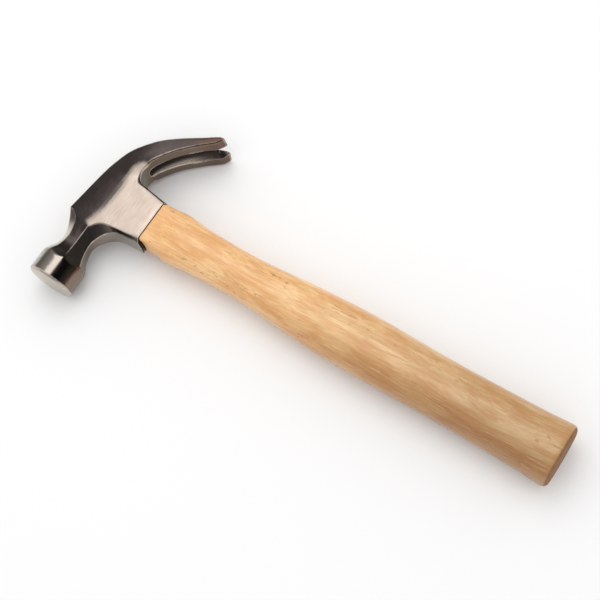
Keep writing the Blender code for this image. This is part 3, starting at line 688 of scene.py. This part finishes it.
class Nodes:
    """Short calls that build one material's node tree. place and x, y, z are in the design frame;
    normal and normal_x, normal_y, normal_z say which way the surface faces."""

    def __init__(self, name):
        self.material = bpy.data.materials.new(name)
        self.material.use_nodes = True
        self.tree = self.material.node_tree
        self.shader = self.tree.nodes["Principled BSDF"]
        coordinates = self.tree.nodes.new("ShaderNodeTexCoord")
        self.normal = coordinates.outputs["Normal"]
        self.place = self.vector("ADD", coordinates.outputs["Object"], tuple(ORIGIN))
        split = self.tree.nodes.new("ShaderNodeSeparateXYZ")
        self.tree.links.new(self.place, split.inputs[0])
        self.x, self.y, self.z = split.outputs
        turns = self.tree.nodes.new("ShaderNodeSeparateXYZ")
        self.tree.links.new(self.normal, turns.inputs[0])
        self.normal_x, self.normal_y, self.normal_z = turns.outputs

    def put(self, socket, value):
        """Links another node's output to the socket, or sets it to a plain value."""
        if isinstance(value, bpy.types.NodeSocket):
            self.tree.links.new(value, socket)
        else:
            socket.default_value = value

    def vector(self, operation, a, b=(0.0, 0.0, 0.0)):
        node = self.tree.nodes.new("ShaderNodeVectorMath")
        node.operation = operation
        self.put(node.inputs[0], a)
        self.put(node.inputs[1], b)
        return node.outputs["Value" if operation in ("DOT_PRODUCT", "LENGTH") else "Vector"]

    def math(self, operation, a, b=0.0):
        node = self.tree.nodes.new("ShaderNodeMath")
        node.operation = operation
        self.put(node.inputs[0], a)
        self.put(node.inputs[1], b)
        return node.outputs[0]

    def step(self, value, low, high, start=0.0, end=1.0):
        """Smoothly from start at low to end at high."""
        node = self.tree.nodes.new("ShaderNodeMapRange")
        node.interpolation_type = "SMOOTHSTEP"
        for name, given in (("Value", value), ("From Min", low), ("From Max", high),
                            ("To Min", start), ("To Max", end)):
            self.put(node.inputs[name], given)
        return node.outputs["Result"]

    def product(self, *values):
        result = values[0]
        for value in values[1:]:
            result = self.math("MULTIPLY", result, value)
        return result

    def total(self, *values):
        result = values[0]
        for value in values[1:]:
            result = self.math("ADD", result, value)
        return result

    def noise(self, scale, detail=3.0, roughness=0.5, distortion=0.0, place=None):
        """Noise whose features are 1/scale long on each axis; scale is three numbers."""
        node = self.tree.nodes.new("ShaderNodeTexNoise")
        self.put(node.inputs["Vector"], self.vector("MULTIPLY", place or self.place, scale))
        node.inputs["Scale"].default_value = 1.0
        node.inputs["Detail"].default_value = detail
        node.inputs["Roughness"].default_value = roughness
        node.inputs["Distortion"].default_value = distortion
        return node.outputs["Fac"]

    def mix(self, factor, a, b, blend="MIX"):
        node = self.tree.nodes.new("ShaderNodeMix")
        node.data_type = "RGBA"
        node.blend_type = blend
        self.put(node.inputs[0], factor)
        for socket, value in ((node.inputs[6], a), (node.inputs[7], b)):
            self.put(socket, (*value, 1.0) if isinstance(value, tuple) else value)
        return node.outputs[2]

    def bump(self, height, distance, strength=1.0, onto=None):
        node = self.tree.nodes.new("ShaderNodeBump")
        node.inputs["Strength"].default_value = strength
        node.inputs["Distance"].default_value = distance
        self.put(node.inputs["Height"], height)
        if onto:
            self.put(node.inputs["Normal"], onto)
        return node.outputs["Normal"]

    def attribute(self, name):
        node = self.tree.nodes.new("ShaderNodeAttribute")
        node.attribute_name = name
        return node.outputs["Fac"]

    def shade(self, **values):
        """Sets the shader's inputs, named with _ for a space, and hands out the material."""
        for name, value in values.items():
            socket = self.shader.inputs[name.replace("_", " ")]
            self.put(socket, (*value, 1.0) if isinstance(value, tuple) else value)
        return self.material


def cheek_mask(n, height):
    """Where the cheeks are ground bright: up to a bowed line below the crown and a slanting line
    short of the claws."""
    ragged = n.product(n.math("SUBTRACT", n.noise((700.0, 60.0, 60.0), 3.0), 0.5), 0.0040)
    from_middle = n.math("SUBTRACT", n.y, 0.005)
    bowed = n.product(from_middle, from_middle, 7.8)
    below_crown = n.total(n.x, 0.0288, bowed, ragged)
    from_claws = n.vector("DOT_PRODUCT", n.vector("SUBTRACT", n.place, (-0.0307, 0.0220, 0.0)),
                          (0.83, -0.56, 0.0))
    return n.product(
        n.step(below_crown, -0.0030, 0.0032),
        n.step(n.total(from_claws, ragged), -0.0022, 0.0020),
        n.step(height, 0.0088, 0.0092),
        n.step(n.total(n.y, n.product(n.x, 0.4)), -0.0365, -0.0335),
        n.step(n.y, 0.0265, 0.0305, 1.0, 0.0),
    )


def bell_mask(n):
    """The round bell, as far as the neck's facets that run out on it, and its face."""
    off_axis = n.vector("SUBTRACT", n.place, (BELL_AXIS_X, 0.0, 0.0))
    from_axis = n.vector("LENGTH", n.vector("MULTIPLY", off_axis, (1.0, 0.0, 1.0)))
    return n.product(
        n.step(n.y, -0.0440, -0.0465),
        n.math("MAXIMUM", n.step(from_axis, 0.0139, 0.01445),
               n.step(n.y, BELL_RIM_Y + 0.0020, BELL_RIM_Y + 0.0010)),
    )


def slot_masks(n, height):
    """The nail slot's walls, which face the middle plane, and a pale painted highlight along them.
    """
    inwards = n.product(n.normal_z, n.math("SIGN", n.z))
    slot = n.product(n.step(inwards, -0.10, -0.35), n.step(n.y, 0.0255, 0.0270),
                     n.step(height, 0.0085, 0.0070))
    # Painted highlight: pale on the shallow part of the groove's flanks, fading out towards the
    # tips
    painted_slot_sheen = n.product(slot, n.step(height, 0.0024, 0.0042), n.step(n.y, 0.060, 0.046))
    return slot, painted_slot_sheen


def dark_steel_and_painted_light(n, facing):
    """The polished forging, its light and shade partly painted by the way it faces: dark where it
    faces up or down and greyer on its sides (painted reflection), pale on the neck's crown side
    (painted highlight), darker on the neck's wall side, almost black on the skirt's chamfer and
    brown under the claws (painted shade), and brown on the claws' tips."""
    cloud = n.noise((90.0, 60.0, 90.0), 2.0)
    # Painted reflection: dark where the steel faces up or down, greyer where it faces sideways
    flat_dark = n.mix(cloud, (0.072, 0.057, 0.054), (0.130, 0.104, 0.098))
    side_painted_grey = n.mix(cloud, (0.27, 0.235, 0.20), (0.36, 0.315, 0.265))
    dark = n.mix(n.step(facing, 0.70, 0.94), side_painted_grey, flat_dark)
    # Painted shade: darker brown where the surface under the claws faces back towards the handle
    under = n.product(
        n.step(n.vector("DOT_PRODUCT", n.normal, (0.75, -0.66, 0.0)), 0.35, 0.8),
        n.step(n.y, 0.018, 0.030),
    )
    dark = n.mix(n.product(under, 0.85), dark, (0.165, 0.118, 0.086))
    # Painted highlight: pale where the neck's facets face the crown side
    painted_neck_highlight = n.product(n.step(n.normal_x, -0.40, -0.75), n.step(n.y, -0.0185, -0.0205))
    dark = n.mix(n.product(painted_neck_highlight, 0.9), dark, (0.74, 0.64, 0.53))
    # Painted shade: darker where the neck's facets face towards the handle
    painted_neck_shade = n.product(n.step(n.normal_x, 0.55, 0.85), n.step(n.y, -0.022, -0.034))
    dark = n.mix(n.product(painted_neck_shade, 0.9), dark, (0.165, 0.130, 0.112))
    # Painted shade: almost black on the skirt's chamfer on the poll side
    painted_chamfer_shade = n.product(
        n.step(n.normal_y, -0.45, -0.70),
        n.step(facing, 0.18, 0.30),
        n.step(facing, 0.80, 0.70),
        n.step(n.y, -0.031, -0.027),
        n.step(n.y, -0.0125, -0.0135),
    )
    dark = n.mix(n.product(painted_chamfer_shade, 0.9), dark, (0.035, 0.028, 0.024))
    tips = n.product(n.step(n.y, 0.0490, 0.0620), n.step(cloud, 0.35, 0.65, 0.55, 1.0))
    return n.mix(tips, dark, (0.125, 0.070, 0.050))


def bell_painted_bands(n):
    """The bell's painted highlight and shade bands, which run along its round side by the way it
    faces, and its paler face.
    """
    steel = n.mix(n.step(n.normal_x, 0.24, 0.36), (0.57, 0.50, 0.43), (0.042, 0.034, 0.034))
    steel = n.mix(n.step(n.normal_x, 0.58, 0.78), steel, (0.23, 0.175, 0.145))
    steel = n.mix(n.step(n.normal_x, -0.02, -0.40), steel, (0.20, 0.185, 0.155))
    return n.mix(n.step(n.normal_y, -0.45, -0.75), steel, (0.53, 0.46, 0.385))


def forged_steel():
    """Dark polished steel, with bright brushed cheeks and worn edges, painted highlight and shade
    bands on the bell, and painted light and shade on the forging's other faces.
    """
    n = Nodes("forged_steel")
    height = n.math("ABSOLUTE", n.z)
    facing = n.math("ABSOLUTE", n.normal_z)
    streaks = n.noise((2600.0, 90.0, 300.0), 3.0, 0.6)
    bright = cheek_mask(n, height)
    slot, painted_slot_sheen = slot_masks(n, height)
    worn = n.product(
        n.attribute("wear"),
        n.step(n.noise((400.0, 400.0, 400.0), 2.0), 0.25, 0.6, 0.45, 1.0),
        n.step(n.y, 0.040, 0.064, 1.0, 0.45),
    )
    # The skirt's end faces are painted almost black, as shade
    painted_skirt_end_shade = n.product(n.step(n.normal_x, 0.55, 0.80), n.step(n.x, -0.0015, -0.0008),
                          n.step(n.y, 0.0200, 0.0180))

    colour = n.mix(slot, dark_steel_and_painted_light(n, facing), (0.17, 0.135, 0.12))
    # A pale painted highlight along the slot's walls
    colour = n.mix(painted_slot_sheen, colour, (0.78, 0.70, 0.63))
    # The bell with its painted highlight and shade bands
    colour = n.mix(bell_mask(n), colour, bell_painted_bands(n))
    brushed = n.mix(n.step(streaks, 0.3, 0.7), (0.74, 0.60, 0.515), (0.92, 0.775, 0.665))
    colour = n.mix(bright, colour, brushed)
    colour = n.mix(n.product(worn, 0.8), colour, (0.78, 0.70, 0.62))
    colour = n.mix(painted_skirt_end_shade, colour, (0.030, 0.022, 0.017))

    metal = n.math("SUBTRACT", 1.0, n.total(n.product(worn, 0.55), n.product(painted_slot_sheen, 0.30)))
    smudge = n.step(n.noise((160.0, 120.0, 160.0), 4.0, 0.6), 0.3, 0.7, -0.03, 0.05)
    rough = n.total(0.22, smudge, n.product(bright, 0.17), n.product(worn, 0.25),
                    n.product(n.math("SUBTRACT", streaks, 0.5), 0.10))
    lines = n.product(streaks, n.total(0.2, n.product(bright, 0.8)))
    normal = n.bump(lines, 0.000012)
    normal = n.bump(n.noise((250.0, 250.0, 250.0), 2.0), 0.00006, onto=normal)
    return n.shade(Base_Color=colour, Metallic=metal, Roughness=rough, Normal=normal)


def handle_wood():
    """Pale lacquered hardwood: long grain, orange patches, short dark pores and a few flecks, with
    painted shade towards the butt and on the lower side.
    """
    n = Nodes("handle_wood")
    wave = n.product(n.math("SUBTRACT", n.noise((14.0, 40.0, 40.0), 2.0), 0.5), 0.010)
    drift = n.tree.nodes.new("ShaderNodeCombineXYZ")  # the grain sways across the handle
    n.put(drift.inputs[1], wave)
    n.put(drift.inputs[2], wave)
    grain_place = n.vector("ADD", n.place, drift.outputs[0])

    patches = n.noise((34.0, 130.0, 130.0), 3.0, 0.6, place=grain_place)
    bands = n.noise((12.0, 420.0, 420.0), 4.0, 0.6, place=grain_place)
    fibre = n.noise((70.0, 1900.0, 1900.0), 3.0, 0.6, place=grain_place)
    pores = n.step(n.noise((115.0, 1500.0, 1500.0), 2.0, 0.6, place=grain_place), 0.57, 0.66)
    pore_patches = n.step(n.noise((26.0, 110.0, 110.0), 2.0), 0.42, 0.60, 0.15, 1.0)
    pores = n.product(pores, pore_patches, n.step(n.x, 0.02, 0.09, 0.25, 1.0))
    flecks = n.product(n.step(n.noise((240.0, 520.0, 520.0), 2.0), 0.62, 0.70),
                       n.step(n.noise((24.0, 80.0, 80.0), 1.0), 0.54, 0.64))
    # Painted shade: darker on the lower, poll side, more so towards the butt
    low_side_shade = n.product(n.step(n.y, -0.001, -0.0165), n.step(n.x, 0.03, 0.20, 0.15, 1.0))

    base = n.mix(n.step(patches, 0.38, 0.62), (0.80, 0.405, 0.148), (0.94, 0.600, 0.285))
    base = n.mix(n.step(n.x, 0.045, 0.0, 0.0, 0.5), base, (0.88, 0.420, 0.140))
    base = n.mix(n.step(bands, 0.46, 0.66, 0.0, 0.50), base, (0.70, 0.375, 0.130))
    base = n.mix(n.step(bands, 0.50, 0.32, 0.0, 0.40), base, (0.96, 0.660, 0.340))
    # Painted shade: the handle grows darker towards the butt
    base = n.mix(n.step(n.x, 0.08, 0.25), base, (0.62, 0.62, 0.61), "MULTIPLY")
    base = n.mix(low_side_shade, base, (0.60, 0.48, 0.35), "MULTIPLY")
    base = n.mix(n.step(fibre, 0.42, 0.70, 0.0, 0.40), base, (0.55, 0.30, 0.125))
    base = n.mix(n.step(fibre, 0.46, 0.28, 0.0, 0.30), base, (0.98, 0.72, 0.42))
    base = n.mix(n.product(pores, 0.55), base, (0.40, 0.18, 0.065))
    base = n.mix(n.product(flecks, 0.55), base, (0.34, 0.13, 0.05))

    end = n.step(n.math("ABSOLUTE", n.normal_x), 0.40, 0.75)
    rings = n.noise((10.0, 900.0, 260.0), 3.0, 0.6, 0.4)
    base = n.mix(end, base, n.mix(rings, (0.17, 0.070, 0.027), (0.34, 0.165, 0.070)))

    rough = n.total(0.34, n.product(fibre, 0.10), n.product(end, 0.35))
    depth = n.math("SUBTRACT", n.product(fibre, 0.5), n.product(pores, 0.9))
    return n.shade(Base_Color=base, Roughness=rough, Normal=n.bump(depth, 0.00003, 0.6),
                   Coat_Weight=n.math("SUBTRACT", 0.45, n.product(end, 0.45)),
                   Coat_Roughness=0.26)


def wedge_wood():
    """Darker hardwood seen on its end grain."""
    n = Nodes("wedge_wood")
    grain = n.noise((400.0, 260.0, 1500.0), 4.0, 0.6)
    specks = n.step(n.noise((1800.0, 1800.0, 1800.0), 2.0), 0.60, 0.72)
    colour = n.mix(grain, (0.20, 0.095, 0.040), (0.46, 0.25, 0.11))
    colour = n.mix(n.product(specks, 0.6), colour, (0.10, 0.045, 0.02))
    rough = n.total(n.product(grain, 0.2), 0.5)
    return n.shade(Base_Color=colour, Roughness=rough, Normal=n.bump(grain, 0.00005))


def wedge_steel():
    """Plain mild steel with hammer marks and a little rust."""
    n = Nodes("wedge_steel")
    marks = n.noise((900.0, 900.0, 900.0), 3.0, 0.6)
    rust = n.step(n.noise((600.0, 500.0, 600.0), 4.0, 0.65), 0.52, 0.70)
    colour = n.mix(marks, (0.30, 0.28, 0.27), (0.52, 0.49, 0.46))
    colour = n.mix(n.product(rust, 0.7), colour, (0.22, 0.095, 0.045))
    metal = n.math("SUBTRACT", 1.0, n.product(rust, 0.6))
    rough = n.total(n.product(rust, 0.3), 0.36)
    return n.shade(Base_Color=colour, Metallic=metal, Roughness=rough,
                   Normal=n.bump(marks, 0.00008))


# ---- stage ----

def make_floor():
    """A pale matt floor under the head's lowest point."""
    mesh = bmesh.new()
    bmesh.ops.create_grid(mesh, x_segments=1, y_segments=1, size=FLOOR_SIZE)
    floor = link("floor", mesh)
    floor.location.z = HEAD_LOW[2]
    material = bpy.data.materials.new("floor")
    material.use_nodes = True
    shader = material.node_tree.nodes["Principled BSDF"]
    shader.inputs["Base Color"].default_value = (*FLOOR_GREY, 1.0)
    shader.inputs["Roughness"].default_value = 0.9
    shader.inputs["Specular IOR Level"].default_value = 0.1
    floor.data.materials.append(material)


def make_world():
    """A light tent: even pale light, while reflections see a grey room that darkens towards +X."""
    world = bpy.data.worlds.new("studio")
    world.use_nodes = True
    tree = world.node_tree
    tent = tree.nodes["Background"]
    tent.inputs["Color"].default_value = (*TENT_LIGHT, 1.0)
    coordinates = tree.nodes.new("ShaderNodeTexCoord")
    towards = tree.nodes.new("ShaderNodeVectorMath")
    towards.operation = "DOT_PRODUCT"
    towards.inputs[1].default_value = ROOM_LIGHT_SIDE
    shade_of_grey = tree.nodes.new("ShaderNodeMapRange")
    shade_of_grey.interpolation_type = "SMOOTHSTEP"
    ends = ("From Min", "From Max", "To Min", "To Max")
    for name, value in zip(ends, (*ROOM_TURN, *ROOM_GREYS)):
        shade_of_grey.inputs[name].default_value = value
    room = tree.nodes.new("ShaderNodeBackground")
    path = tree.nodes.new("ShaderNodeLightPath")
    mix = tree.nodes.new("ShaderNodeMixShader")
    tree.links.new(coordinates.outputs["Generated"], towards.inputs[0])
    tree.links.new(towards.outputs["Value"], shade_of_grey.inputs["Value"])
    tree.links.new(shade_of_grey.outputs["Result"], room.inputs["Strength"])
    tree.links.new(path.outputs["Is Glossy Ray"], mix.inputs[0])
    tree.links.new(tent.outputs[0], mix.inputs[1])
    tree.links.new(room.outputs[0], mix.inputs[2])
    tree.links.new(mix.outputs[0], tree.nodes["World Output"].inputs["Surface"])
    bpy.context.scene.world = world


def make_key_light():
    """One large softbox that shines on the head from above."""
    data = bpy.data.lights.new("key_softbox", "AREA")
    data.shape = "RECTANGLE"
    data.size, data.size_y = KEY_SIZE
    data.energy = KEY_WATTS
    softbox = bpy.data.objects.new("key_softbox", data)
    softbox.location = (HEAD_LOW + HEAD_HIGH) / 2 + KEY_OFFSET
    softbox.rotation_euler = (-KEY_OFFSET).to_track_quat("-Z", "Y").to_euler()
    bpy.context.scene.collection.objects.link(softbox)


def make_camera():
    """The photograph's camera."""
    data = bpy.data.cameras.new("camera")
    data.lens = CAMERA_LENS
    camera = bpy.data.objects.new("camera", data)
    right = CAMERA_UP.cross(CAMERA_BACK).normalized()
    axes = Matrix((right, CAMERA_UP, CAMERA_BACK)).transposed()
    camera.matrix_world = Matrix.Translation(CAMERA_AT - ORIGIN) @ axes.to_4x4()
    bpy.context.scene.collection.objects.link(camera)
    bpy.context.scene.camera = camera


def dress(piece, material, node):
    """Gives a piece its material and slot, hides the CAD node that it replaces and hangs the piece
    on the root body.
    """
    piece.data.materials.clear()
    piece.data.materials.append(material)
    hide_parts(node)
    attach(piece, "root")


def main():
    make_camera()
    make_floor()
    make_world()
    make_key_light()
    bpy.context.scene.view_settings.view_transform = "Standard"
    handle, spreader, pins = make_handle_and_wedges()
    dress(make_head(), forged_steel(), "head")
    dress(handle, handle_wood(), "handle")
    dress(spreader, wedge_wood(), "wooden_wedge")
    pin_steel = wedge_steel()
    for pin, node in zip(pins, STEEL_WEDGE_Y):
        dress(pin, pin_steel, node)


main()
